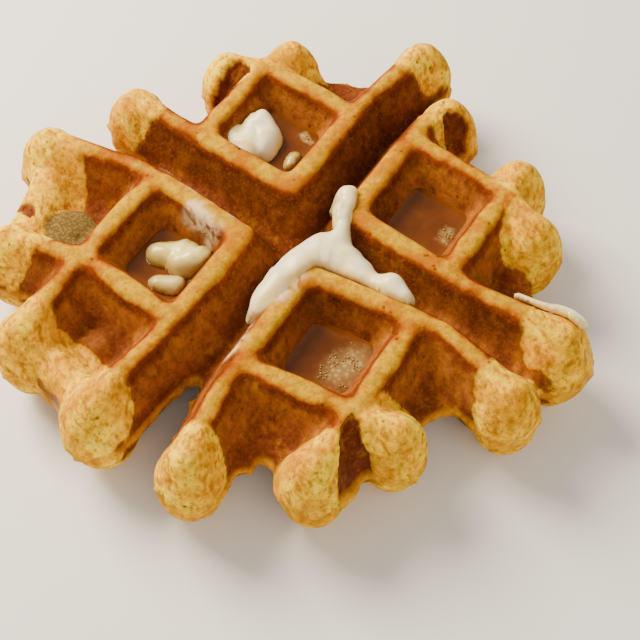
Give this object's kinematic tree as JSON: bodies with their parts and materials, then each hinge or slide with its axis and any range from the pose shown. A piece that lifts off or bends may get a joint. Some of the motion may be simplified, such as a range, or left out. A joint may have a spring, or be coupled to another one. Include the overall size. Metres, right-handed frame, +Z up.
{
  "type": "waffle",
  "caption": "Deep round waffle with crossing grooves, square pockets, ridges that end in fat round lobes, thin ragged webs, melting butter and pools of syrup.",
  "frame": {"origin": "the crossing of the waffle's two grooves, on the surface that it lies on, under the middle of its box", "axes": "+Z up through the waffle's thickness; +X and +Y along its two grooves"},
  "size_m": [0.1458, 0.1511, 0.0306],
  "materials": {
    "baked_dough": "golden brown baked batter, wrinkled and slightly glossed by butter",
    "butter": "soft, creamy, half melted",
    "syrup": "clear dark brown, wet"
  },
  "bodies": {
    "root": {"waffle": "baked_dough", "butter_centre": "butter", "butter_far": "butter", "butter_far_small": "butter", "butter_left_upper": "butter", "butter_left_lower": "butter", "butter_strip": "butter", "syrup_near": "syrup", "syrup_left": "syrup", "syrup_far": "syrup", "syrup_right": "syrup"}
  },
  "joints": []
}
